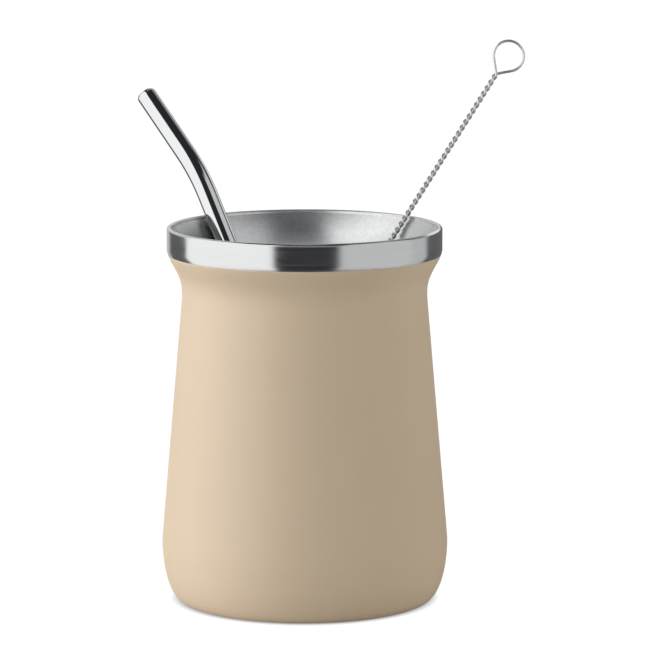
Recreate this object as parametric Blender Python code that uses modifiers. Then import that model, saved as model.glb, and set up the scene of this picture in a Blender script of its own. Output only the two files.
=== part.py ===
"""Insulated steel mate cup with its drinking straw and a twisted-wire straw brush.

The cup stands on z = 0 with its axis on the Z axis. Lengths are in metres.
The straw leans over the back left of the lip and the brush over the back right.
"""
import math

import bpy
from mathutils import Matrix, Vector

MM = 0.001

# Outside of the cup
CUP_HEIGHT = 112.0 * MM
BASE_RADIUS = 36.7 * MM
BELLY_RADIUS = 42.7 * MM
BELLY_HEIGHT = 18.0 * MM
TAPER = 0.086
NECK_START = 88.6 * MM
NECK_END = 106.1 * MM
NECK_FLARE = 5.74 * MM
NECK_SKEW = 1.55
COAT_TOP = 104.0 * MM

# Walls, floor and lip
LIP_THICKNESS = 1.6 * MM
LIP_ROLL = 0.8 * MM
FUNNEL_DROP = 5.3 * MM
FUNNEL_DEPTH = 12.0 * MM
FUNNEL_CURVE = 1.74
BELLY_WALL = 3.5 * MM
LINER_SHEET = 0.8 * MM
FLOOR_TOP = 5.0 * MM
FLOOR_RADIUS = 33.7 * MM
GAP = 0.3 * MM
SEGMENTS = 52

# Straw: a bent tube in an upright plane through the cup's axis
STRAW_RADIUS = 3.1 * MM
STRAW_WALL = 0.4 * MM
STRAW_AZIMUTH = math.radians(138.9)
STRAW_LEAN = math.radians(29.02)
STRAW_BEND = math.radians(15.18)
STRAW_BEND_RADIUS = 60.0 * MM
STRAW_BEND_START = 5.0 * MM
STRAW_MOUTH_LENGTH = 23.5 * MM

# Brush: one wire folded into a ring, its two ends twisted into a stem
WIRE_RADIUS = 0.41 * MM
STRAND_OFFSET = 0.48 * MM
TWIST_PITCH = 4.1 * MM
POINTS_PER_TURN = 6
STEM_TURNS = 43.0
STEM_LIP_AZIMUTH = math.radians(36.63)
STEM_TIP_AZIMUTH = math.radians(187.4)
STEM_TIP_RADIUS = 36.4 * MM
STEM_TIP_HEIGHT = 10.0 * MM
RING_RADIUS = 4.63 * MM
RING_DISTANCE = 6.85 * MM
RING_TILT = math.radians(3.0)


def ease(t):
    """Half a cosine wave from 0 to 1, level at both ends."""
    t = min(max(t, 0.0), 1.0)
    return 0.5 - 0.5 * math.cos(math.pi * t)


def spread(start, end, count):
    """Evenly spaced values from start to end, both included."""
    return [start + (end - start) * i / (count - 1) for i in range(count)]


def corner(flat_radius, bottom, side_radius, top, count):
    """Quarter ellipse from a flat floor up into a side wall, as (radius, height) points."""
    points = []
    for angle in spread(0.0, math.pi / 2, count):
        radius = flat_radius + (side_radius - flat_radius) * math.sin(angle)
        height = top - (top - bottom) * math.cos(angle)
        points.append((radius, height))
    return points


def outer_radius(z):
    """Outside of the cup above the belly: a straight taper, then the flare of the neck."""
    z = min(z, NECK_END)
    rise = max(z - NECK_START, 0.0) / (NECK_END - NECK_START)
    return BELLY_RADIUS - TAPER * (z - BELLY_HEIGHT) + NECK_FLARE * ease(rise ** NECK_SKEW)


def inner_radius(z):
    """Inside of the cup above the belly: a straight cone, then a funnel that opens to the lip."""
    lip_base = CUP_HEIGHT - LIP_ROLL
    throat_height = lip_base - FUNNEL_DEPTH
    throat_radius = outer_radius(lip_base) - LIP_THICKNESS - FUNNEL_DROP
    if z > throat_height:
        return throat_radius + FUNNEL_DROP * ((z - throat_height) / FUNNEL_DEPTH) ** FUNNEL_CURVE
    widening = (BELLY_RADIUS - BELLY_WALL - throat_radius) / (throat_height - BELLY_HEIGHT)
    return throat_radius + widening * (throat_height - z)


def make_material(name, color, metallic, roughness):
    """Plain surface with the piece's colour."""
    material = bpy.data.materials.new(name)
    material.use_nodes = True
    shader = material.node_tree.nodes["Principled BSDF"]
    shader.inputs["Base Color"].default_value = (*color, 1.0)
    shader.inputs["Metallic"].default_value = metallic
    shader.inputs["Roughness"].default_value = roughness
    return material


def turned(name, profile, material, collection):
    """Solid of revolution from an open profile whose two ends lie on the Z axis."""
    mesh = bpy.data.meshes.new(name)
    points = [(radius, 0.0, height) for radius, height in profile]
    edges = [(i, i + 1) for i in range(len(points) - 1)]
    mesh.from_pydata(points, edges, [])
    mesh.materials.append(material)
    piece = bpy.data.objects.new(name, mesh)
    collection.objects.link(piece)
    screw = piece.modifiers.new("Turn", "SCREW")
    screw.axis = "Z"
    screw.steps = SEGMENTS
    screw.render_steps = SEGMENTS
    screw.use_merge_vertices = True
    screw.merge_threshold = 0.00001
    screw.use_smooth_shade = True
    return piece


def wire_curve(name, points, radius, resolution, caps):
    """Round tube along a chain of points."""
    curve = bpy.data.curves.new(name, "CURVE")
    curve.dimensions = "3D"
    curve.bevel_depth = radius
    curve.bevel_resolution = resolution
    curve.use_fill_caps = caps
    spline = curve.splines.new("POLY")
    spline.points.add(len(points) - 1)
    for target, point in zip(spline.points, points):
        target.co = (*point, 1.0)
    return curve


def shell_profile():
    """Coated outer wall: the floor's top, the hidden side, the rim face and the outside."""
    offset = LINER_SHEET + GAP
    top = COAT_TOP - GAP
    floor = FLOOR_TOP - offset
    throat_height = CUP_HEIGHT - LIP_ROLL - FUNNEL_DEPTH
    profile = [(0.0, floor)]
    profile += corner(FLOOR_RADIUS + offset, floor, inner_radius(BELLY_HEIGHT) + offset,
                      BELLY_HEIGHT, 5)
    for z in spread(throat_height, top, 4):
        profile.append((inner_radius(z) + offset, z))
    for z in spread(top, NECK_START, 8):
        profile.append((outer_radius(z), z))
    profile += reversed(corner(BASE_RADIUS, 0.0, BELLY_RADIUS, BELLY_HEIGHT, 9))
    profile.append((0.0, 0.0))
    return profile


def liner_profile():
    """Bare steel: the floor, the inside wall, the rounded lip, the rim band and the back."""
    inner_belly = inner_radius(BELLY_HEIGHT)
    lip_base = CUP_HEIGHT - LIP_ROLL
    throat_height = lip_base - FUNNEL_DEPTH
    profile = [(0.0, FLOOR_TOP)]
    profile += corner(FLOOR_RADIUS, FLOOR_TOP, inner_belly, BELLY_HEIGHT, 7)
    for z in spread(throat_height, lip_base, 8):
        profile.append((inner_radius(z), z))
    middle = 0.5 * (inner_radius(lip_base) + outer_radius(lip_base))
    half = 0.5 * (outer_radius(lip_base) - inner_radius(lip_base))
    for angle in spread(math.pi, 0.0, 7)[1:-1]:
        profile.append((middle + half * math.cos(angle), lip_base + LIP_ROLL * math.sin(angle)))
    for z in spread(lip_base, COAT_TOP, 5):
        profile.append((outer_radius(z), z))
    for z in spread(COAT_TOP, throat_height, 4):
        profile.append((inner_radius(z) + LINER_SHEET, z))
    under = corner(FLOOR_RADIUS + LINER_SHEET, FLOOR_TOP - LINER_SHEET,
                   inner_belly + LINER_SHEET, BELLY_HEIGHT, 5)
    profile += reversed(under)
    profile.append((0.0, FLOOR_TOP - LINER_SHEET))
    return profile


def lip_centre():
    """Radius and height of the centre of the rounded lip."""
    height = CUP_HEIGHT - LIP_ROLL
    return 0.5 * (inner_radius(height) + outer_radius(height)), height


def straw_axis():
    """Centre line of the straw in its own XZ plane, from the foot to the mouth end.

    The straight lower part rests in the funnel, and the arc bends it further outwards.
    """
    lip_radius, lip_height = lip_centre()
    lip = Vector((lip_radius, 0.0, lip_height))
    along = Vector((math.sin(STRAW_LEAN), 0.0, math.cos(STRAW_LEAN)))
    across = Vector((math.cos(STRAW_LEAN), 0.0, -math.sin(STRAW_LEAN)))
    bulge = LIP_ROLL
    for z in spread(lip_height - FUNNEL_DEPTH, lip_height, 25):
        wall = Vector((inner_radius(z), 0.0, z))
        bulge = max(bulge, (lip - wall).dot(across))
    at_lip = lip - across * (STRAW_RADIUS + bulge + GAP)
    foot_height = FLOOR_TOP + STRAW_RADIUS * math.sin(STRAW_LEAN) + GAP
    foot = at_lip - along * ((at_lip.z - foot_height) / along.z)
    bend_start = at_lip + along * STRAW_BEND_START
    centre = bend_start + across * STRAW_BEND_RADIUS
    points = [foot, at_lip]
    for turn in spread(0.0, STRAW_BEND, 8):
        angle = STRAW_LEAN + turn
        out = Vector((math.cos(angle), 0.0, -math.sin(angle)))
        points.append(centre - out * STRAW_BEND_RADIUS)
    angle = STRAW_LEAN + STRAW_BEND
    mouth = Vector((math.sin(angle), 0.0, math.cos(angle))) * STRAW_MOUTH_LENGTH
    points.append(points[-1] + mouth)
    return points


def make_straw(material, collection):
    """Thin round tube, open at both ends."""
    curve = wire_curve("straw_axis", straw_axis(), STRAW_RADIUS, 8, False)
    guide = bpy.data.objects.new("straw_axis", curve)
    collection.objects.link(guide)
    depsgraph = bpy.context.evaluated_depsgraph_get()
    mesh = bpy.data.meshes.new_from_object(guide.evaluated_get(depsgraph))
    mesh.name = "straw"
    bpy.data.objects.remove(guide)
    mesh.materials.clear()
    mesh.materials.append(material)
    mesh.shade_smooth()
    piece = bpy.data.objects.new("straw", mesh)
    collection.objects.link(piece)
    wall = piece.modifiers.new("Wall", "SOLIDIFY")
    wall.thickness = STRAW_WALL
    wall.offset = -1.0
    wall.use_rim = True
    piece.rotation_euler = (0.0, 0.0, STRAW_AZIMUTH)
    return piece


def stem_line():
    """Tip of the stem and its unit direction: it stands in the corner and clears the lip."""
    lip_radius, lip_height = lip_centre()
    tip = Vector((STEM_TIP_RADIUS * math.cos(STEM_TIP_AZIMUTH),
                  STEM_TIP_RADIUS * math.sin(STEM_TIP_AZIMUTH), STEM_TIP_HEIGHT))
    around = Vector((-math.sin(STEM_LIP_AZIMUTH), math.cos(STEM_LIP_AZIMUTH), 0.0))
    lip = Vector((lip_radius * math.cos(STEM_LIP_AZIMUTH),
                  lip_radius * math.sin(STEM_LIP_AZIMUTH), lip_height))
    clear = STRAND_OFFSET + WIRE_RADIUS + LIP_ROLL + GAP
    direction = (lip - tip).normalized()
    for _ in range(6):
        away = direction.cross(around).normalized()
        if away.z < 0.0:
            away = -away
        direction = (lip + away * clear - tip).normalized()
    return tip, direction


def wire_path():
    """The folded wire in the stem's own frame: up one strand, round the ring, down the other.

    The stem runs along +Z as a left-hand double twist. Its strands cross at the top and run
    straight on to the ring, which lies in the XZ plane and tilts a little towards +X.
    """
    length = STEM_TURNS * TWIST_PITCH
    count = int(STEM_TURNS * POINTS_PER_TURN) + 1

    def strand(side):
        points = []
        for height in spread(0.0, length, count):
            angle = 2.0 * math.pi * (length - height) / TWIST_PITCH + math.pi / 2
            points.append(Vector((side * STRAND_OFFSET * math.cos(angle),
                                  side * STRAND_OFFSET * math.sin(angle), height)))
        return points

    half_angle = math.asin(RING_RADIUS / RING_DISTANCE)
    centre = Vector((RING_DISTANCE * math.sin(RING_TILT), 0.0,
                     length + RING_DISTANCE * math.cos(RING_TILT)))
    ring = []
    for angle in spread(math.pi + half_angle - RING_TILT, -half_angle - RING_TILT, 26):
        ring.append(centre + RING_RADIUS * Vector((math.cos(angle), 0.0, math.sin(angle))))
    return strand(-1.0) + ring + list(reversed(strand(1.0)))


def make_brush(material, collection):
    """Twisted stem with its hanging ring, as one continuous wire."""
    curve = wire_curve("brush_wire", wire_path(), WIRE_RADIUS, 1, True)
    curve.materials.append(material)
    piece = bpy.data.objects.new("brush_wire", curve)
    collection.objects.link(piece)
    tip, direction = stem_line()
    side = Vector((0.0, 1.0, 0.0)).cross(direction).normalized()
    back = direction.cross(side)
    turn = Matrix((side, back, direction)).transposed()
    piece.rotation_euler = turn.to_euler()
    piece.location = tip
    return piece


def main():
    for old in list(bpy.data.objects):
        bpy.data.objects.remove(old)
    collection = bpy.data.collections.new("mate_cup")
    bpy.context.scene.collection.children.link(collection)
    beige = make_material("beige_powder_coat", (0.60, 0.48, 0.34), 0.0, 0.5)
    brushed = make_material("brushed_steel", (0.62, 0.62, 0.61), 1.0, 0.3)
    polished = make_material("polished_steel", (0.70, 0.70, 0.70), 1.0, 0.08)
    wire = make_material("wire_steel", (0.50, 0.50, 0.50), 1.0, 0.3)
    turned("outer_shell", shell_profile(), beige, collection)
    turned("steel_liner", liner_profile(), brushed, collection)
    make_straw(polished, collection)
    make_brush(wire, collection)


main()
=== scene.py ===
"""Insulated steel mate cup with its bent straw and twisted-wire straw brush.

Each piece is a surface worked out with numpy and finished with procedural steel or
powder coat. The cup stands on z = 0 on the Z axis, and all lengths are in metres.
"""

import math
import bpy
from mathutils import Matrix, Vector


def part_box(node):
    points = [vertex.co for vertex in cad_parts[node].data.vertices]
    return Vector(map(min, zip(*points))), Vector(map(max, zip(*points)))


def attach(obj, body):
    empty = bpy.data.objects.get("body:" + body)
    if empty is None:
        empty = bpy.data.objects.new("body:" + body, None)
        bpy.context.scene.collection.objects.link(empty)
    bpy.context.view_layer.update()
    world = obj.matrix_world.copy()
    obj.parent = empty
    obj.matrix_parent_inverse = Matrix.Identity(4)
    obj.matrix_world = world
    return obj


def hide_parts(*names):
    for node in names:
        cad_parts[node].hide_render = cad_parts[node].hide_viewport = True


bl_info = {
    "name": "Mate Cup with Straw",
    "version": (1, 0, 0),
    "blender": (4, 5, 0),
    "location": "3D View > Sidebar > Mate Cup",
    "description": "Builds a steel mate cup, its straw and its wire brush in a small studio",
    "category": "Object",
}

import bpy
import numpy as np
from bpy.props import FloatProperty, FloatVectorProperty, IntProperty, PointerProperty

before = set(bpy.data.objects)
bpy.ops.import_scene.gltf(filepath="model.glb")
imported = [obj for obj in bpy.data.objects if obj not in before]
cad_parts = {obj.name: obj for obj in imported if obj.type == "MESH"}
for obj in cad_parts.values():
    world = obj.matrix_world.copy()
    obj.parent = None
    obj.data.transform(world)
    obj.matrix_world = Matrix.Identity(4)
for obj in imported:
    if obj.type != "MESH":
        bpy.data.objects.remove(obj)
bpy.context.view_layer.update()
LIP_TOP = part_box("steel_liner")[1].z
BODY = "root"

MM = 0.001
PIXELS = 665
SENSOR = 36.0
COAT_SEAM = 0.01 * MM
COAT_EDGE = 0.12 * MM
SHARP_EDGE = 50.0
STRAW_SIDES = 64
WIRE_SIDES = 12
STEPS_IN_A_TWIST = 14
RING_STEPS = 60
LEAD_STEPS = 10
SETTLING_ROUNDS = 6
INSIDE_ENDS = 39.9 * MM
BAND_BEGINS = 40.4 * MM

WHITE = (1.0, 1.0, 1.0, 1.0)
BACKDROP_LEVEL = 1.05
SHADOW_REACH = 5.0 * MM
SHADOW_LEVEL = 0.4
ROOM_DARK = 0.035
ROOM_TINT = (0.0, 0.002, 0.009)
SOFT_DARK = 0.03
KEY_TINT = (1.0, 1.0, 1.05)
FILL_TINT = (1.0, 0.98, 0.92)


def length(name, description, default):
    """A size that the user can change, shown as a distance."""
    return FloatProperty(name=name, description=description, default=default, min=0.0,
                         precision=5, unit="LENGTH", subtype="DISTANCE")


def turn(name, description, degrees):
    """An angle that the user can change."""
    return FloatProperty(name=name, description=description,
                         default=math.radians(degrees), subtype="ANGLE", unit="ROTATION")


def tint(name, description, default):
    """A colour that the user can change."""
    return FloatVectorProperty(name=name, description=description, default=default,
                               size=3, min=0.0, max=1.0, subtype="COLOR")


def share(name, description, default, top=1.0):
    """A plain number without a unit."""
    return FloatProperty(name=name, description=description, default=default, min=0.0, max=top)


class CupSettings(bpy.types.PropertyGroup):
    """Sizes and finish of the cup."""

    height: length("Height", "From the table to the top of the lip", LIP_TOP)
    base_radius: length("Base Radius", "Flat disc that the cup stands on", 36.7 * MM)
    belly_radius: length("Belly Radius", "Widest place of the body", 42.7 * MM)
    belly_height: length("Belly Height", "Height of the widest place", 18.0 * MM)
    taper: share("Taper", "Radius lost for each unit of height above the belly", 0.086)
    neck_start: length("Neck Start", "Height where the neck begins to flare", 88.6 * MM)
    neck_end: length("Neck End", "Height where the flare reaches the rim", 106.1 * MM)
    neck_flare: length("Neck Flare", "How far the neck flares out", 5.74 * MM)
    neck_skew: share("Neck Skew", "Above 1, the flare begins slowly and ends fast", 1.55, 5.0)
    coat_top: length("Coat Top", "Height where the coat ends and the bare rim begins", 104.0 * MM)
    funnel_drop: length("Funnel Drop", "How far the inside narrows below the lip", 5.3 * MM)
    funnel_depth: length("Funnel Depth", "Height of the funnel below the lip", 12.0 * MM)
    funnel_curve: share("Funnel Curve", "Above 1, the funnel opens like a bell", 1.74, 5.0)
    belly_wall: length("Belly Wall", "Thickness of the wall at the belly", 3.5 * MM)
    lip_thickness: length("Lip Thickness", "Thickness of the wall at the lip", 1.6 * MM)
    lip_roll: length("Lip Roll", "Height of the rounded lip", 0.8 * MM)
    liner_sheet: length("Liner Sheet", "Thickness of the steel liner", 0.8 * MM)
    floor_top: length("Floor Top", "Height of the floor inside", 5.0 * MM)
    floor_radius: length("Floor Radius", "Flat part of the floor inside", 33.7 * MM)
    hidden_gap: length("Hidden Gap", "Room between the liner and the outer wall", 0.3 * MM)
    segments: IntProperty(name="Segments", description="Faces around the cup",
                          default=256, min=24, max=512)
    coat_color: tint("Coat Colour", "Beige powder coat", (0.80, 0.640, 0.448))
    coat_roughness: share("Coat Roughness", "Satin finish of the coat", 0.52)
    band_color: tint("Band Colour", "Brushed steel of the rim band", (0.50, 0.505, 0.505))
    # The inside's steel is set lighter than the band's steel: painted light on the inside.
    inside_lit_color: tint("Inside Colour", "Brushed steel of the inside", (0.62, 0.625, 0.625))
    band_roughness: share("Band Roughness", "Finish of the bare rim band", 0.19)
    inside_roughness: share("Inside Roughness", "Finish of the inside", 0.40)


class StrawSettings(bpy.types.PropertyGroup):
    """Sizes, place and finish of the straw."""

    radius: length("Radius", "Outside radius of the tube", 3.1 * MM)
    wall: length("Wall", "Thickness of the tube's wall", 0.4 * MM)
    azimuth: turn("Azimuth", "Side of the lip that the straw leans over", 138.9)
    lean: turn("Lean", "Lean of the lower part from upright", 29.02)
    bend: turn("Bend", "How much further the mouth end leans", 15.18)
    bend_radius: length("Bend Radius", "Radius of the bend", 60.0 * MM)
    bend_start: length("Bend Start", "Straight part above the lip", 5.0 * MM)
    mouth_length: length("Mouth Length", "Straight part beyond the bend", 23.5 * MM)
    mouth_curl: length("Mouth Curl", "Length over which the mouth's edge turns in", 0.9 * MM)
    mouth_drop: length("Mouth Drop", "How far the mouth's edge turns in", 0.4 * MM)
    color: tint("Steel Colour", "Mirror-polished steel", (0.52, 0.525, 0.525))
    roughness: share("Roughness", "Finish of the polished tube", 0.05)


class BrushSettings(bpy.types.PropertyGroup):
    """Sizes, place and finish of the folded and twisted brush wire."""

    wire_radius: length("Wire Radius", "Radius of the wire", 0.41 * MM)
    strand_offset: length("Strand Offset", "From the stem's middle to each strand", 0.48 * MM)
    pitch: length("Pitch", "Length of one full twist", 4.1 * MM)
    twists: share("Twists", "Number of full twists in the stem", 43.0, 100.0)
    lip_azimuth: turn("Lip Azimuth", "Side of the lip that the stem leans over", 36.63)
    tip_azimuth: turn("Tip Azimuth", "Side of the floor that the tip stands on", 187.4)
    tip_radius: length("Tip Radius", "From the cup's axis to the tip", 36.4 * MM)
    tip_height: length("Tip Height", "Height of the tip in the rounded corner", 10.0 * MM)
    ring_radius: length("Ring Radius", "Radius of the ring's middle line", 4.63 * MM)
    ring_distance: length("Ring Distance", "From the twist's end to the ring's centre", 6.85 * MM)
    ring_tilt: turn("Ring Tilt", "Turn of the ring away from the stem's line", 3.0)
    color: tint("Steel Colour", "Drawn steel wire", (0.66, 0.66, 0.66))
    roughness: share("Roughness", "Finish of the wire", 0.32)


class StudioSettings(bpy.types.PropertyGroup):
    """Camera, floor and light."""

    distance: length("Camera Distance", "From the cup's axis to the camera", 1.2)
    camera_height: length("Camera Height", "Height of the camera above the table", 0.268)
    pitch: turn("Pitch", "How far the camera looks down", 8.9)
    aim: turn("Aim", "How far the camera looks to the right of the cup", 0.395)
    focal: share("Focal Length", "Focal length of the lens in pixels", 4082.6, 20000.0)
    key: share("Key Level", "Brightness of the large softbox on the left", 1.62, 10.0)
    fill: share("Fill Level", "Brightness of the softbox on the right", 0.92, 10.0)
    top: share("Top Level", "Brightness of the small overhead light", 0.7, 10.0)
    soft_key: share("Soft Key", "Key light on surfaces that aren't glossy", 2.6, 10.0)
    soft_fill: share("Soft Fill", "Fill light on surfaces that aren't glossy", 1.25, 10.0)
    bounce: share("Floor Bounce", "How much light the floor sends back up", 0.72)
    floor_size: length("Floor Size", "Half the width of the studio floor", 4.0)


# Profiles of the cup


def ease(t):
    """Half a cosine wave from 0 to 1, level at both ends."""
    return 0.5 - 0.5 * np.cos(math.pi * np.clip(t, 0.0, 1.0))


def corner(flat_radius, bottom, side_radius, top, count):
    """Quarter ellipse: radius grows with the sine of an angle, height with 1 - cosine."""
    angle = np.linspace(0.0, math.pi / 2, count)
    radius = flat_radius + (side_radius - flat_radius) * np.sin(angle)
    return np.column_stack([radius, top - (top - bottom) * np.cos(angle)])


def outer_radius(cup, z):
    """Outside above the belly: a straight taper plus the eased flare of the neck."""
    z = np.minimum(z, cup.neck_end)
    climb = np.maximum(z - cup.neck_start, 0.0) / (cup.neck_end - cup.neck_start)
    flare = cup.neck_flare * ease(climb ** cup.neck_skew)
    return cup.belly_radius - cup.taper * (z - cup.belly_height) + flare


def throat(cup):
    """Radius and height of the narrowest place inside, where the funnel begins."""
    lip_base = cup.height - cup.lip_roll
    radius = outer_radius(cup, lip_base) - cup.lip_thickness - cup.funnel_drop
    return float(radius), lip_base - cup.funnel_depth


def inner_radius(cup, z):
    """Inside above the belly: a straight cone up to the throat, then a funnel whose radius
    grows with a power of the height above the throat."""
    radius, height = throat(cup)
    climb = np.maximum(z - height, 0.0) / cup.funnel_depth
    widening = (cup.belly_radius - cup.belly_wall - radius) / (height - cup.belly_height)
    cone = widening * np.maximum(height - z, 0.0)
    return radius + cup.funnel_drop * climb ** cup.funnel_curve + cone


def rise(radius_of, cup, start, end, count, offset=0.0):
    """A wall as (radius, height) points between two heights."""
    z = np.linspace(start, end, count)
    return np.column_stack([radius_of(cup, z) + offset, z])


def shell_profile(cup):
    """Outer wall from the axis out along its floor, up its hidden side, over the coat's
    rounded edge, down the outside and in along the base.

    The whole number of each stretch, here and in the liner, is how many points it has.
    """
    offset = cup.liner_sheet + cup.hidden_gap
    top = cup.coat_top - COAT_SEAM
    shoulder = top - COAT_EDGE
    floor = cup.floor_top - offset
    inner_belly = inner_radius(cup, cup.belly_height) + offset
    angle = np.linspace(math.pi / 2, 0.0, 6)
    roll = np.column_stack([outer_radius(cup, shoulder) - COAT_EDGE + COAT_EDGE * np.cos(angle),
                            shoulder + COAT_EDGE * np.sin(angle)])
    base = corner(cup.base_radius, 0.0, cup.belly_radius, cup.belly_height, 30)[::-1]
    return np.concatenate([
        corner(cup.floor_radius + offset, floor, inner_belly, cup.belly_height, 12),
        rise(inner_radius, cup, throat(cup)[1], top, 14, offset),
        roll,
        rise(outer_radius, cup, shoulder, cup.neck_start, 36)[1:],
        rise(outer_radius, cup, cup.neck_start, cup.belly_height, 16)[1:],
        base[1:],
    ])


def liner_profile(cup):
    """Steel liner from the axis out along the floor, up the inside wall, over the half
    round of the lip, down the bare rim band, in under it and back down to the axis."""
    inner_belly = inner_radius(cup, cup.belly_height)
    lip_base = cup.height - cup.lip_roll
    low, high = inner_radius(cup, lip_base), outer_radius(cup, lip_base)
    angle = np.linspace(math.pi, 0.0, 17)[1:-1]
    lip = np.column_stack([0.5 * (low + high) + 0.5 * (high - low) * np.cos(angle),
                           lip_base + cup.lip_roll * np.sin(angle)])
    band_end = cup.coat_top + COAT_SEAM
    throat_height = throat(cup)[1]
    return np.concatenate([
        corner(cup.floor_radius, cup.floor_top, inner_belly, cup.belly_height, 24),
        rise(inner_radius, cup, cup.belly_height, throat_height, 16)[1:],
        rise(inner_radius, cup, throat_height, lip_base, 48)[1:],
        lip,
        rise(outer_radius, cup, lip_base, band_end, 18),
        rise(inner_radius, cup, band_end, throat_height, 10, cup.liner_sheet),
        corner(cup.floor_radius + cup.liner_sheet, cup.floor_top - cup.liner_sheet,
               inner_belly + cup.liner_sheet, cup.belly_height, 12)[::-1],
    ])


# Surfaces


def surface(name, grid, wrap_rows=False, start=None, end=None, scale=(1.0, 1.0)):
    """Closed skin over a grid of points, whose columns go once around.

    Face corners run (i, j), (i+1, j), (i+1, j+1), (i, j+1), so the outside is where the
    row direction crossed with the column direction points. start and end are the points
    that close the first and the last row with a fan. The UV map holds the share of the
    way around times scale[0], and the share along the rows times scale[1].
    """
    rows, cols = grid.shape[:2]
    last = rows if wrap_rows else rows - 1
    i, j = np.meshgrid(np.arange(last), np.arange(cols), indexing="ij")
    step_i = np.array([0, 1, 1, 0])
    step_j = np.array([0, 0, 1, 1])
    ii = i.reshape(-1, 1) + step_i
    jj = j.reshape(-1, 1) + step_j
    quads = (ii % rows) * cols + jj % cols
    uv = [np.stack([jj / cols * scale[0], ii / last * scale[1]], axis=-1).reshape(-1, 2)]
    faces = quads.tolist()
    points = grid.reshape(-1, 3)
    around = np.arange(cols)
    after = (around + 1) % cols
    for cap, row, first, second in ((start, 0, around, after), (end, rows - 1, after, around)):
        if cap is None:
            continue
        centre = np.full(cols, len(points))
        fan = np.stack([centre, row * cols + first, row * cols + second], axis=1)
        faces += fan.tolist()
        points = np.vstack([points, cap])
        uv.append(np.zeros((fan.size, 2)))
    mesh = bpy.data.meshes.new(name)
    mesh.from_pydata(points.tolist(), [], faces)
    layer = mesh.uv_layers.new(name="Way")
    layer.data.foreach_set("uv", np.concatenate(uv).astype(np.float32).ravel())
    mesh.shade_smooth()
    mesh.set_sharp_from_angle(angle=math.radians(SHARP_EDGE))
    piece = bpy.data.objects.new(name, mesh)
    bpy.context.scene.collection.objects.link(piece)
    return piece


def revolve(name, profile, segments):
    """Turned solid: each (radius, height) goes to (radius cos a, radius sin a, height) as
    the angle a goes round, and a point on the axis closes each end."""
    angle = np.linspace(0.0, 2.0 * math.pi, segments, endpoint=False)
    radius = profile[:, :1]
    grid = np.stack([radius * np.cos(angle), radius * np.sin(angle),
                     np.broadcast_to(profile[:, 1:], (len(profile), segments))], axis=-1)
    return surface(name, grid, start=(0.0, 0.0, profile[0, 1]), end=(0.0, 0.0, profile[-1, 1]))


def sweep(path, reference, radius, sides):
    """Rings of points around a path: path + radius (n cos v + b sin v), where n is the
    reference direction made square to the tangent and b is n crossed with the tangent."""
    tangent = np.gradient(path, axis=0)
    tangent /= np.linalg.norm(tangent, axis=1, keepdims=True)
    normal = reference - (tangent @ reference)[:, None] * tangent
    normal /= np.linalg.norm(normal, axis=1, keepdims=True)
    binormal = np.cross(normal, tangent)
    v = np.linspace(0.0, 2.0 * math.pi, sides, endpoint=False)[None, :, None]
    ring = normal[:, None] * np.cos(v) + binormal[:, None] * np.sin(v)
    return path[:, None] + ring * radius[:, None, None]


def lip_centre(cup):
    """Radius and height of the middle of the rounded lip."""
    z = cup.height - cup.lip_roll
    return 0.5 * float(inner_radius(cup, z) + outer_radius(cup, z)), z


# Straw


def straw_axis(cup, straw, s):
    """Point of the straw's middle line at each distance s from the foot, in world space,
    and the length of that line.

    In the upright plane of the straw it is a straight line that clears the lip and the
    funnel by the tube's radius, then an arc that bends outwards, then a straight line
    again. Beyond either end the lines go on.
    """
    lip_radius, lip_height = lip_centre(cup)
    lip = np.array([lip_radius, lip_height])
    lean = straw.lean
    along = np.array([math.sin(lean), math.cos(lean)])
    across = np.array([math.cos(lean), -math.sin(lean)])
    wall = rise(inner_radius, cup, throat(cup)[1], lip_height, 25)
    bulge = max(cup.lip_roll, float(((lip - wall) @ across).max()))
    at_lip = lip - across * (straw.radius + bulge + cup.hidden_gap)
    foot_height = cup.floor_top + straw.radius * math.sin(lean) + cup.hidden_gap
    below = (at_lip[1] - foot_height) / along[1]
    arc = straw.bend_radius * straw.bend
    bend_at = below + straw.bend_start
    first = np.minimum(s, bend_at) - below
    angle = np.clip((s - bend_at) / straw.bend_radius, 0.0, straw.bend)
    centre = at_lip + along * straw.bend_start + across * straw.bend_radius
    swung = np.column_stack([np.cos(lean + angle), -np.sin(lean + angle)])
    points = at_lip + first[:, None] * along
    bent = centre - swung * straw.bend_radius
    points = np.where((s > bend_at)[:, None], bent, points)
    mouth = np.array([math.sin(lean + straw.bend), math.cos(lean + straw.bend)])
    points = points + np.maximum(s - bend_at - arc, 0.0)[:, None] * mouth
    total = bend_at + arc + straw.mouth_length
    out = np.array([math.cos(straw.azimuth), math.sin(straw.azimuth)])
    return np.column_stack([points[:, :1] * out, points[:, 1]]), total


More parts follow.
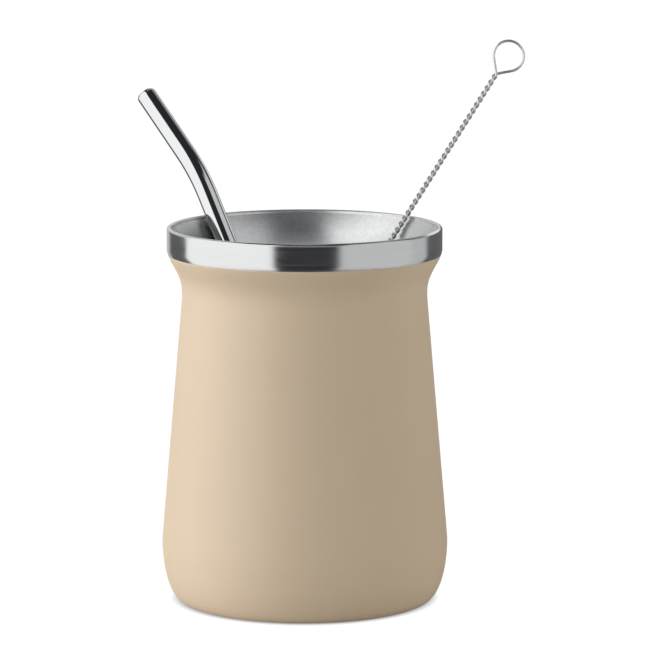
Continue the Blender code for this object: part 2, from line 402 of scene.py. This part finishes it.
def straw_surface(cup, straw):
    """Hollow tube: a closed section of (distance, radius) points, out along the outside,
    over the half round of the mouth, back along the bore and over the foot, carried
    around the middle line. The wall turns in with the square of the way along the curl."""
    half = 0.5 * straw.wall
    total = straw_axis(cup, straw, np.zeros(1))[1]
    turn_over = np.linspace(math.pi / 2, -math.pi / 2, 9)[1:-1]
    end = total - half
    outside = np.concatenate([np.linspace(half, end - straw.mouth_curl, 90),
                              np.linspace(end - straw.mouth_curl, end, 9)[1:]])
    curl = np.maximum(outside - end + straw.mouth_curl, 0.0) / straw.mouth_curl
    middle = straw.radius - half - straw.mouth_drop * curl**2
    mouth = end + half * np.cos(turn_over)
    foot = half - half * np.cos(turn_over[::-1])
    s = np.concatenate([outside, mouth, outside[::-1], foot])
    radius = np.concatenate([
        middle + half,
        middle[-1] + half * np.sin(turn_over),
        middle[::-1] - half,
        middle[0] + half * np.sin(turn_over[::-1]),
    ])
    small = 0.01 * MM
    path = straw_axis(cup, straw, s)[0]
    tangent = straw_axis(cup, straw, s + small)[0] - straw_axis(cup, straw, s - small)[0]
    tangent /= np.linalg.norm(tangent, axis=1, keepdims=True)
    flat = np.array([math.cos(straw.azimuth), math.sin(straw.azimuth), 0.0])
    side = np.cross(flat, [0.0, 0.0, 1.0])
    lower = np.cross(tangent, side)
    v = np.linspace(0.0, 2.0 * math.pi, STRAW_SIDES, endpoint=False)[None, :, None]
    ring = lower[:, None] * np.cos(v) + np.cross(lower, tangent)[:, None] * np.sin(v)
    return path[:, None] + ring * radius[:, None, None], total


# Brush


def stem_frame(cup, brush):
    """Tip of the stem and the three directions of its frame, by columns.

    The stem stands in the corner of the floor and clears the lip by its own radius. Its
    direction settles in a few rounds, because the clearance is square to it. The ring's
    plane holds the stem and the level direction across it.
    """
    lip_radius, lip_height = lip_centre(cup)
    tip = np.array([brush.tip_radius * math.cos(brush.tip_azimuth),
                    brush.tip_radius * math.sin(brush.tip_azimuth), brush.tip_height])
    out = np.array([math.cos(brush.lip_azimuth), math.sin(brush.lip_azimuth), 0.0])
    around = np.array([-out[1], out[0], 0.0])
    lip = out * lip_radius + np.array([0.0, 0.0, lip_height])
    clear = brush.strand_offset + brush.wire_radius + cup.lip_roll + cup.hidden_gap
    up = lip - tip
    for _ in range(SETTLING_ROUNDS):
        away = np.cross(up, around)
        away *= math.copysign(1.0, away[2]) / np.linalg.norm(away)
        up = lip + away * clear - tip
    up /= np.linalg.norm(up)
    side = np.cross([0.0, 1.0, 0.0], up)
    side /= np.linalg.norm(side)
    return tip, np.column_stack([side, np.cross(up, side), up])


def lead(start, start_way, end, end_way, count):
    """Cubic Hermite curve between two points with given directions, ends left out."""
    t = np.linspace(0.0, 1.0, count + 2)[1:-1, None]
    return ((2 * t**3 - 3 * t**2 + 1) * start + (t**3 - 2 * t**2 + t) * start_way
            + (3 * t**2 - 2 * t**3) * end + (t**3 - t**2) * end_way)


def wire_path(brush):
    """The folded wire in the stem's frame: up one strand of a left-hand double helix,
    round the ring in the XZ plane and down the other strand.

    The strands cross at the top of the stem, one behind the other, and their straight legs
    touch the ring's circle.
    """
    stem = brush.twists * brush.pitch
    z = np.linspace(0.0, stem, int(brush.twists * STEPS_IN_A_TWIST) + 1)
    angle = 2.0 * math.pi * (stem - z) / brush.pitch + math.pi / 2
    back = np.column_stack([np.cos(angle) * brush.strand_offset,
                            np.sin(angle) * brush.strand_offset, z])
    front = back * np.array([-1.0, -1.0, 1.0])
    half_angle = math.asin(brush.ring_radius / brush.ring_distance)
    tilt = brush.ring_tilt
    turn_angle = np.linspace(math.pi + half_angle, -half_angle, RING_STEPS) - tilt
    ring = np.column_stack([
        np.cos(turn_angle) * brush.ring_radius + math.sin(tilt) * brush.ring_distance,
        np.zeros(RING_STEPS),
        np.sin(turn_angle) * brush.ring_radius + math.cos(tilt) * brush.ring_distance + stem,
    ])
    reach = math.sqrt(brush.ring_distance**2 - brush.ring_radius**2)
    left, right = tilt - half_angle, tilt + half_angle
    left_way = np.array([math.sin(left), 0.0, math.cos(left)]) * reach
    right_way = np.array([math.sin(right), 0.0, math.cos(right)]) * reach
    slope = 2.0 * math.pi / brush.pitch * brush.strand_offset
    climb = np.array([slope, 0.0, 1.0]) * reach * 0.6
    mirrored = climb * np.array([-1.0, 1.0, 1.0])
    rising = lead(front[-1], mirrored, ring[0], left_way, LEAD_STEPS)
    falling = lead(ring[-1], -right_way, back[-1], -climb, LEAD_STEPS)
    return np.concatenate([front, rising, ring, falling, back[::-1]])


# Node groups and materials


def add_node(tree, kind, inputs=None, **settings):
    """New node with its settings, and its inputs set to a value or linked to a socket."""
    made = tree.nodes.new(kind)
    for name, value in settings.items():
        setattr(made, name, value)
    for name, value in (inputs or {}).items():
        if isinstance(value, bpy.types.NodeSocket):
            tree.links.new(value, made.inputs[name])
        else:
            made.inputs[name].default_value = value
    return made


def reckon(tree, operation, *values):
    """Result of a Math node, whose values are numbers or sockets."""
    return add_node(tree, "ShaderNodeMath", dict(enumerate(values)), operation=operation).outputs[0]


def new_group(name, inputs, outputs):
    """Empty shader group with its named sockets; returns the tree and its input sockets."""
    tree = bpy.data.node_groups.new(name, "ShaderNodeTree")
    for label, kind, default in inputs:
        made = tree.interface.new_socket(name=label, in_out="INPUT", socket_type=kind)
        if default is not None:
            made.default_value = default
    for label, kind in outputs:
        tree.interface.new_socket(name=label, in_out="OUTPUT", socket_type=kind)
    return tree, tree.nodes.new("NodeGroupInput").outputs


def close_group(tree, results):
    """Links the results to the group's outputs by name."""
    out = tree.nodes.new("NodeGroupOutput")
    for label, value in results.items():
        tree.links.new(value, out.inputs[label])


def use_group(tree, name, **inputs):
    """Places a group in a tree with its own values."""
    group = bpy.data.node_groups.get(name) or GROUPS[name]()
    named = {label.replace("_", " "): value for label, value in inputs.items()}
    return add_node(tree, "ShaderNodeGroup", named, node_tree=group).outputs


def brush_marks_group():
    """Fine lines left by brushing or drawing: noise squeezed along one direction.

    Along and Across are the number of marks in a metre in each direction. Height is for a
    Bump node, Tone is a soft shade around 1 and Rough a soft change around 0.
    """
    tree, given = new_group("Brush Marks", [
        ("Vector", "NodeSocketVector", None),
        ("Along", "NodeSocketFloat", 60.0),
        ("Across", "NodeSocketFloat", 5000.0),
        ("Contrast", "NodeSocketFloat", 0.1),
    ], [("Height", "NodeSocketFloat"), ("Tone", "NodeSocketFloat"), ("Rough", "NodeSocketFloat")])
    scale = add_node(tree, "ShaderNodeCombineXYZ",
                     {"X": given["Along"], "Y": given["Along"], "Z": given["Across"]})
    squeezed = add_node(tree, "ShaderNodeVectorMath", {0: given["Vector"], 1: scale.outputs[0]},
                        operation="MULTIPLY").outputs[0]
    fine = add_node(tree, "ShaderNodeTexNoise", {"Vector": squeezed, "Scale": 1.0, "Detail": 3.0,
                                                 "Roughness": 0.6}).outputs["Fac"]
    wide_vector = add_node(tree, "ShaderNodeVectorMath", {0: squeezed, 1: (0.5, 0.5, 0.12)},
                           operation="MULTIPLY").outputs[0]
    wide = add_node(tree, "ShaderNodeTexNoise", {"Vector": wide_vector, "Scale": 1.0,
                                                 "Detail": 2.0}).outputs["Fac"]
    mixed = reckon(tree, "ADD", reckon(tree, "MULTIPLY", fine, 0.6),
                   reckon(tree, "MULTIPLY", wide, 0.4))
    centred = reckon(tree, "SUBTRACT", mixed, 0.5)
    swing = reckon(tree, "MULTIPLY", centred, given["Contrast"])
    close_group(tree, {"Height": fine, "Tone": reckon(tree, "ADD", swing, 1.0), "Rough": swing})
    return tree


def soft_patches_group():
    """Slow uneven patches, as from handling and polishing. Shade is around 1."""
    tree, given = new_group("Soft Patches", [
        ("Vector", "NodeSocketVector", None),
        ("Scale", "NodeSocketFloat", 60.0),
        ("Amount", "NodeSocketFloat", 0.05),
    ], [("Shade", "NodeSocketFloat"), ("Rough", "NodeSocketFloat")])
    cloud = add_node(tree, "ShaderNodeTexNoise", {"Vector": given["Vector"],
                                                  "Scale": given["Scale"], "Detail": 2.0,
                                                  "Distortion": 0.6}).outputs["Fac"]
    swing = reckon(tree, "MULTIPLY", reckon(tree, "SUBTRACT", cloud, 0.5), given["Amount"])
    close_group(tree, {"Shade": reckon(tree, "ADD", swing, 1.0), "Rough": swing})
    return tree


def powder_grain_group():
    """Sprayed and baked powder: fine grain over a slow orange-peel wave."""
    tree, given = new_group("Powder Grain", [
        ("Vector", "NodeSocketVector", None),
        ("Grain Scale", "NodeSocketFloat", 2600.0),
        ("Peel Scale", "NodeSocketFloat", 420.0),
    ], [("Height", "NodeSocketFloat"), ("Speck", "NodeSocketFloat")])
    grain = add_node(tree, "ShaderNodeTexNoise", {"Vector": given["Vector"],
                                                  "Scale": given["Grain Scale"],
                                                  "Detail": 2.0}).outputs["Fac"]
    peel = add_node(tree, "ShaderNodeTexNoise", {"Vector": given["Vector"],
                                                 "Scale": given["Peel Scale"],
                                                 "Detail": 1.0}).outputs["Fac"]
    height = reckon(tree, "ADD", reckon(tree, "MULTIPLY", grain, 0.45),
                    reckon(tree, "MULTIPLY", peel, 0.55))
    close_group(tree, {"Height": height, "Speck": grain})
    return tree


def softbox_group():
    """Level of a light that fills a window of directions, with soft edges.

    Azimuth is 0 towards the viewer's side and grows to the right, in degrees.
    """
    names = ("Azimuth", "Elevation", "Left", "Right", "Low", "High", "Edge", "Level")
    tree, given = new_group("Softbox", [(n, "NodeSocketFloat", 1.0) for n in names],
                            [("Level", "NodeSocketFloat")])
    window = given["Level"]
    for value, start, end in (("Azimuth", "Left", "Right"), ("Elevation", "Low", "High")):
        for edge, sign in ((start, 1.0), (end, -1.0)):
            inside = reckon(tree, "MULTIPLY",
                            reckon(tree, "SUBTRACT", given[value], given[edge]), sign)
            ramp = add_node(tree, "ShaderNodeMapRange",
                            {"Value": inside, "From Min": 0.0, "From Max": given["Edge"]},
                            interpolation_type="SMOOTHSTEP").outputs[0]
            window = reckon(tree, "MULTIPLY", window, ramp)
    close_group(tree, {"Level": window})
    return tree


GROUPS = {
    "Brush Marks": brush_marks_group,
    "Soft Patches": soft_patches_group,
    "Powder Grain": powder_grain_group,
    "Softbox": softbox_group,
}


def new_material(name):
    """New material, its node tree and its Principled BSDF."""
    material = bpy.data.materials.new(name)
    material.use_nodes = True
    return material, material.node_tree, material.node_tree.nodes["Principled BSDF"]


def shaded(tree, color, factor):
    """A colour, fixed or from a socket, made lighter or darker by a changing factor."""
    if not isinstance(color, bpy.types.NodeSocket):
        color = tuple(color)
    return add_node(tree, "ShaderNodeVectorMath", {0: color, "Scale": factor},
                    operation="SCALE").outputs[0]


def coat_material(cup):
    """Satin beige powder coat."""
    material, tree, shader = new_material("beige_powder_coat")
    place = add_node(tree, "ShaderNodeTexCoord").outputs["Object"]
    grain = use_group(tree, "Powder Grain", Vector=place, Grain_Scale=2600.0, Peel_Scale=420.0)
    patches = use_group(tree, "Soft Patches", Vector=place, Scale=38.0, Amount=0.05)
    speck = add_node(tree, "ShaderNodeMapRange", {"Value": grain["Speck"], "From Min": 0.3,
                                                  "From Max": 0.7, "To Min": 0.985,
                                                  "To Max": 1.015}).outputs[0]
    factor = reckon(tree, "MULTIPLY", speck, patches["Shade"])
    tree.links.new(shaded(tree, cup.coat_color, factor), shader.inputs["Base Color"])
    rough = reckon(tree, "ADD", patches["Rough"], cup.coat_roughness)
    tree.links.new(rough, shader.inputs["Roughness"])
    bump = add_node(tree, "ShaderNodeBump", {"Strength": 0.5, "Distance": 0.02 * MM,
                                             "Height": grain["Height"]})
    tree.links.new(bump.outputs[0], shader.inputs["Normal"])
    return material


def liner_material(cup):
    """Bare steel, turned on a lathe: the marks go around the cup at every depth.

    The inside and the rim band differ in finish, and the inside's steel is painted lighter
    than the band's, as painted light on the inside. They change over halfway across the lip.
    The fine mottle is only inside.
    """
    material, tree, shader = new_material("brushed_steel")
    place = add_node(tree, "ShaderNodeTexCoord").outputs["Object"]
    axes = add_node(tree, "ShaderNodeSeparateXYZ", {"Vector": place}).outputs
    level = add_node(tree, "ShaderNodeCombineXYZ", {"X": axes["X"], "Y": axes["Y"]}).outputs[0]
    radius = add_node(tree, "ShaderNodeVectorMath", {0: level}, operation="LENGTH").outputs["Value"]
    down = reckon(tree, "ADD", axes["Z"], radius)
    way = add_node(tree, "ShaderNodeCombineXYZ",
                   {"X": axes["X"], "Y": axes["Y"], "Z": down}).outputs[0]
    marks = use_group(tree, "Brush Marks", Vector=way, Along=45.0, Across=5200.0, Contrast=0.22)
    patches = use_group(tree, "Soft Patches", Vector=place, Scale=70.0, Amount=0.06)
    mottle = use_group(tree, "Soft Patches", Vector=place, Scale=950.0, Amount=0.34)
    outside = add_node(tree, "ShaderNodeMapRange",
                       {"Value": radius, "From Min": INSIDE_ENDS, "From Max": BAND_BEGINS},
                       interpolation_type="SMOOTHSTEP").outputs[0]
    blotch = add_node(tree, "ShaderNodeMapRange", {"Value": outside, "To Min": mottle["Shade"],
                                                   "To Max": 1.0}).outputs[0]
    factor = reckon(tree, "MULTIPLY", reckon(tree, "MULTIPLY", marks["Tone"], patches["Shade"]),
                    blotch)
    # Inside colour lighter than the band's same steel: painted light on the inside.
    steel = add_node(tree, "ShaderNodeMix", {"Factor": outside}, data_type="RGBA")
    steel.inputs["A"].default_value = (*cup.inside_lit_color, 1.0)
    steel.inputs["B"].default_value = (*cup.band_color, 1.0)
    tree.links.new(shaded(tree, steel.outputs["Result"], factor), shader.inputs["Base Color"])
    finish = add_node(tree, "ShaderNodeMapRange", {"Value": outside,
                                                   "To Min": cup.inside_roughness,
                                                   "To Max": cup.band_roughness}).outputs[0]
    rough = reckon(tree, "ADD", reckon(tree, "ADD", marks["Rough"], patches["Rough"]), finish)
    tree.links.new(rough, shader.inputs["Roughness"])
    bump = add_node(tree, "ShaderNodeBump", {"Strength": 0.5, "Distance": 0.006 * MM,
                                             "Height": marks["Height"]})
    tree.links.new(bump.outputs[0], shader.inputs["Normal"])
    shader.inputs["Metallic"].default_value = 1.0
    shader.inputs["Anisotropic"].default_value = 0.6
    shader.inputs["Anisotropic Rotation"].default_value = 0.25
    tangent = add_node(tree, "ShaderNodeTangent", direction_type="RADIAL", axis="Z")
    tree.links.new(tangent.outputs[0], shader.inputs["Tangent"])
    return material


def drawn_steel_material(name, color, roughness, across, depth, contrast):
    """Steel tube or wire: drawing marks run along it, in metres on its own UV map.

    across is the number of marks in a metre of the way around, depth their height and
    contrast the change of shade.
    """
    material, tree, shader = new_material(name)
    way = add_node(tree, "ShaderNodeUVMap", uv_map="Way").outputs[0]
    axes = add_node(tree, "ShaderNodeSeparateXYZ", {"Vector": way}).outputs
    along = add_node(tree, "ShaderNodeCombineXYZ",
                     {"X": axes["Y"], "Y": 0.0, "Z": axes["X"]}).outputs[0]
    marks = use_group(tree, "Brush Marks", Vector=along, Along=90.0, Across=across,
                      Contrast=contrast)
    place = add_node(tree, "ShaderNodeTexCoord").outputs["Object"]
    patches = use_group(tree, "Soft Patches", Vector=place, Scale=180.0, Amount=0.03)
    factor = reckon(tree, "MULTIPLY", marks["Tone"], patches["Shade"])
    tree.links.new(shaded(tree, color, factor), shader.inputs["Base Color"])
    rough = reckon(tree, "ADD", patches["Rough"], roughness)
    tree.links.new(rough, shader.inputs["Roughness"])
    bump = add_node(tree, "ShaderNodeBump", {"Strength": 0.4, "Distance": depth,
                                             "Height": marks["Height"]})
    tree.links.new(bump.outputs[0], shader.inputs["Normal"])
    shader.inputs["Metallic"].default_value = 1.0
    return material


# Operators


def settings():
    """The scene's property groups: cup, straw, brush and studio."""
    scene = bpy.context.scene
    return scene.mate_cup, scene.mate_straw, scene.mate_brush, scene.mate_studio


def finish_piece(piece, material, node):
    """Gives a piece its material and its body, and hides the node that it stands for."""
    piece.data.materials.append(material)
    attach(piece, BODY)
    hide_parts(node)


class MATECUP_OT_coated_shell(bpy.types.Operator):
    """Builds the beige outer wall of the cup"""

    bl_idname = "mate_cup.coated_shell"
    bl_label = "Coated Shell"

    def execute(self, context):
        cup = settings()[0]
        piece = revolve("coated_shell", shell_profile(cup), cup.segments)
        finish_piece(piece, coat_material(cup), "outer_shell")
        return {"FINISHED"}


class MATECUP_OT_steel_interior(bpy.types.Operator):
    """Builds the steel liner with the lip and the bare rim band"""

    bl_idname = "mate_cup.steel_interior"
    bl_label = "Steel Interior and Rim"

    def execute(self, context):
        cup = settings()[0]
        piece = revolve("steel_interior", liner_profile(cup), cup.segments)
        finish_piece(piece, liner_material(cup), "steel_liner")
        return {"FINISHED"}


class MATECUP_OT_bent_straw(bpy.types.Operator):
    """Builds the bent steel straw"""

    bl_idname = "mate_cup.bent_straw"
    bl_label = "Bent Straw"

    def execute(self, context):
        cup, straw, _, _ = settings()
        grid, total = straw_surface(cup, straw)
        around = 2.0 * math.pi * straw.radius
        piece = surface("bent_straw", grid, wrap_rows=True, scale=(around, 2.0 * total))
        steel = drawn_steel_material("polished_steel", straw.color, straw.roughness,
                                     across=4000.0, depth=0.001 * MM, contrast=0.05)
        finish_piece(piece, steel, "straw")
        return {"FINISHED"}


class MATECUP_OT_straw_brush(bpy.types.Operator):
    """Builds the folded and twisted wire of the straw brush"""

    bl_idname = "mate_cup.straw_brush"
    bl_label = "Straw Brush"

    def execute(self, context):
        cup, _, brush, _ = settings()
        path = wire_path(brush)
        radius = np.full(len(path), brush.wire_radius)
        tip, directions = stem_frame(cup, brush)
        across = np.array([0.0, 1.0, 0.0])
        grid = sweep(path, across, radius, WIRE_SIDES) @ directions.T + tip
        ends = path[[0, -1]] @ directions.T + tip
        way = float(np.linalg.norm(np.diff(path, axis=0), axis=1).sum())
        piece = surface("straw_brush", grid, start=ends[0], end=ends[1],
                        scale=(2.0 * math.pi * brush.wire_radius, way))
        steel = drawn_steel_material("wire_steel", brush.color, brush.roughness,
                                     across=9000.0, depth=0.001 * MM, contrast=0.08)
        finish_piece(piece, steel, "brush_wire")
        return {"FINISHED"}


class MATECUP_OT_studio(bpy.types.Operator):
    """Builds the floor, the light and the camera"""

    bl_idname = "mate_cup.studio"
    bl_label = "Studio"

    def execute(self, context):
        studio = settings()[3]
        build_floor(studio)
        build_light(studio)
        build_camera(studio)
        return {"FINISHED"}


def build_floor(studio):
    """Floor that is white to the camera apart from a thin shadow where the cup stands, and
    a plain pale surface to every other ray."""
    half = studio.floor_size
    corners = [(-half, -half, 0.0), (half, -half, 0.0), (half, half, 0.0), (-half, half, 0.0)]
    mesh = bpy.data.meshes.new("studio_floor")
    mesh.from_pydata([(x, y, -0.02 * MM) for x, y, _ in corners], [], [(0, 1, 2, 3)])
    floor = bpy.data.objects.new("studio_floor", mesh)
    bpy.context.scene.collection.objects.link(floor)
    material, tree, shader = new_material("pale_floor")
    shader.inputs["Base Color"].default_value = (studio.bounce, studio.bounce, studio.bounce, 1.0)
    shader.inputs["Roughness"].default_value = 0.9
    shader.inputs["Specular IOR Level"].default_value = 0.0
    open_sky = add_node(tree, "ShaderNodeAmbientOcclusion", {"Distance": SHADOW_REACH},
                        samples=24)
    shadow = add_node(tree, "ShaderNodeMapRange",
                      {"Value": open_sky.outputs["AO"], "From Min": 0.1, "From Max": 0.52,
                       "To Min": SHADOW_LEVEL, "To Max": BACKDROP_LEVEL}).outputs[0]
    glow = add_node(tree, "ShaderNodeEmission", {"Color": WHITE, "Strength": shadow})
    ray = add_node(tree, "ShaderNodeLightPath").outputs["Is Camera Ray"]
    mix = add_node(tree, "ShaderNodeMixShader", {0: ray, 1: shader.outputs[0], 2: glow.outputs[0]})
    tree.links.new(mix.outputs[0], tree.nodes["Material Output"].inputs["Surface"])
    mesh.materials.append(material)
    floor.visible_glossy = False


def room_level(tree, azimuth, elevation, base, boxes):
    """Level of the room in each direction: the base and every box of light added up.

    A box is its left, right, low and high side and its soft edge, in degrees, and its level.
    """
    total = base
    for left, right, low, high, edge, level in boxes:
        light = use_group(tree, "Softbox", Azimuth=azimuth, Elevation=elevation, Left=left,
                          Right=right, Low=low, High=high, Edge=edge, Level=level)["Level"]
        total = reckon(tree, "ADD", total, light)
    return total


def build_light(studio):
    """Studio as a field of directions around a dark middle: a large softbox on the left, a
    lower one on the right, a small overhead light and weaker panels behind and in front.

    Glossy surfaces see all of it. Diffuse ones are lit by fewer, wider windows, a little
    cool from the left and a little warm from the right and above.
    """
    world = bpy.data.worlds.new("studio_light")
    bpy.context.scene.world = world
    world.use_nodes = True
    tree = world.node_tree
    tree.nodes.clear()
    way = add_node(tree, "ShaderNodeTexCoord").outputs["Generated"]
    axes = add_node(tree, "ShaderNodeSeparateXYZ", {"Vector": way}).outputs
    degrees = 180.0 / math.pi
    front = reckon(tree, "MULTIPLY", axes["Y"], -1.0)
    azimuth = reckon(tree, "MULTIPLY", reckon(tree, "ARCTAN2", axes["X"], front), degrees)
    elevation = reckon(tree, "MULTIPLY", reckon(tree, "ARCSINE", axes["Z"]), degrees)
    shine = room_level(tree, azimuth, elevation, ROOM_DARK, (
        # Left softbox, the low and the high part of the right one, and its dimmer far end
        (-119.0, -23.5, -40.0, 60.0, 4.5, studio.key),
        (26.0, 104.0, -40.0, 24.0, 6.0, studio.fill),
        (35.0, 104.0, 18.0, 53.0, 6.0, studio.fill),
        (98.0, 126.0, -40.0, 9.0, 6.0, 0.87 * studio.fill),
        # Panels behind on the right
        (124.0, 190.0, 7.0, 29.0, 5.0, 1.25),
        (118.0, 190.0, 29.0, 72.0, 6.0, 0.42),
        (101.0, 127.0, 8.0, 31.0, 6.0, 0.45),
        (120.0, 190.0, -40.0, 9.0, 6.0, 0.13),
        # Panels behind on the left
        (-190.0, -113.0, 3.0, 50.0, 6.0, 0.85),
        (-190.0, -113.0, -40.0, 9.0, 6.0, 0.13),
        (-190.0, -150.0, -40.0, 9.0, 6.0, 0.5),
        # Low panel in front, pale ground below and the overhead light
        (-26.0, 30.0, 3.0, 24.0, 6.0, 0.95),
        (-190.0, 190.0, -100.0, -38.0, 6.0, 0.3),
        (-190.0, 190.0, 76.0, 100.0, 6.0, studio.top),
    ))
    soft_left = room_level(tree, azimuth, elevation, SOFT_DARK, (
        (-119.0, -29.0, -40.0, 50.0, 6.0, studio.soft_key),
        (-190.0, -112.0, -10.0, 60.0, 8.0, 0.5),
    ))
    soft_right = room_level(tree, azimuth, elevation, SOFT_DARK, (
        (42.0, 125.0, -40.0, 40.0, 6.0, studio.soft_fill),
        (118.0, 190.0, -10.0, 60.0, 8.0, 0.4),
        (-190.0, 190.0, 74.0, 100.0, 6.0, 1.0),
    ))
    soft = add_node(tree, "ShaderNodeVectorMath",
                    {0: shaded(tree, KEY_TINT, soft_left), 1: shaded(tree, FILL_TINT, soft_right)},
                    operation="ADD").outputs[0]
    cool = add_node(tree, "ShaderNodeVectorMath", {0: ROOM_TINT, 1: shine},
                    operation="ADD").outputs[0]
    path = add_node(tree, "ShaderNodeLightPath").outputs
    light = add_node(tree, "ShaderNodeMix", {"Factor": path["Is Diffuse Ray"]}, data_type="RGBA")
    tree.links.new(cool, light.inputs["A"])
    tree.links.new(soft, light.inputs["B"])
    room = add_node(tree, "ShaderNodeBackground", {"Color": light.outputs["Result"],
                                                   "Strength": 1.0})
    backdrop = add_node(tree, "ShaderNodeBackground", {"Color": WHITE,
                                                       "Strength": BACKDROP_LEVEL})
    mix = add_node(tree, "ShaderNodeMixShader",
                   {0: path["Is Camera Ray"], 1: room.outputs[0], 2: backdrop.outputs[0]})
    out = add_node(tree, "ShaderNodeOutputWorld")
    tree.links.new(mix.outputs[0], out.inputs["Surface"])
    view = bpy.context.scene.view_settings
    view.view_transform = "Standard"
    view.look = "None"


def build_camera(studio):
    """Long lens at the photograph's angle, a little above the lip and looking down."""
    data = bpy.data.cameras.new("studio_camera")
    data.sensor_width = SENSOR
    data.lens = studio.focal * SENSOR / PIXELS
    data.clip_end = 100.0
    camera = bpy.data.objects.new("studio_camera", data)
    camera.location = (0.0, -studio.distance, studio.camera_height)
    camera.rotation_euler = (math.pi / 2 - studio.pitch, 0.0, -studio.aim)
    bpy.context.scene.collection.objects.link(camera)
    bpy.context.scene.camera = camera


BUILD_STEPS = (
    MATECUP_OT_coated_shell,
    MATECUP_OT_steel_interior,
    MATECUP_OT_bent_straw,
    MATECUP_OT_straw_brush,
    MATECUP_OT_studio,
)


class MATECUP_PT_sidebar(bpy.types.Panel):
    """Lists the pieces of the mate cup"""

    bl_idname = "MATECUP_PT_sidebar"
    bl_label = "Mate Cup"
    bl_space_type = "VIEW_3D"
    bl_region_type = "UI"
    bl_category = "Mate Cup"

    def draw(self, context):
        for step in BUILD_STEPS:
            self.layout.operator(step.bl_idname)


SETTINGS = {
    "mate_cup": CupSettings,
    "mate_straw": StrawSettings,
    "mate_brush": BrushSettings,
    "mate_studio": StudioSettings,
}


def register():
    """Registers the classes and hangs the settings on the scene."""
    for name, group in SETTINGS.items():
        bpy.utils.register_class(group)
        setattr(bpy.types.Scene, name, PointerProperty(type=group))
    for item in (*BUILD_STEPS, MATECUP_PT_sidebar):
        bpy.utils.register_class(item)


def unregister():
    """Takes the classes and the settings away again."""
    for item in reversed((*BUILD_STEPS, MATECUP_PT_sidebar)):
        bpy.utils.unregister_class(item)
    for name, group in SETTINGS.items():
        delattr(bpy.types.Scene, name)
        bpy.utils.unregister_class(group)


def main():
    """Builds every piece and the studio."""
    register()
    for step in BUILD_STEPS:
        category, name = step.bl_idname.split(".")
        getattr(getattr(bpy.ops, category), name)()


if __name__ == "__main__":
    main()
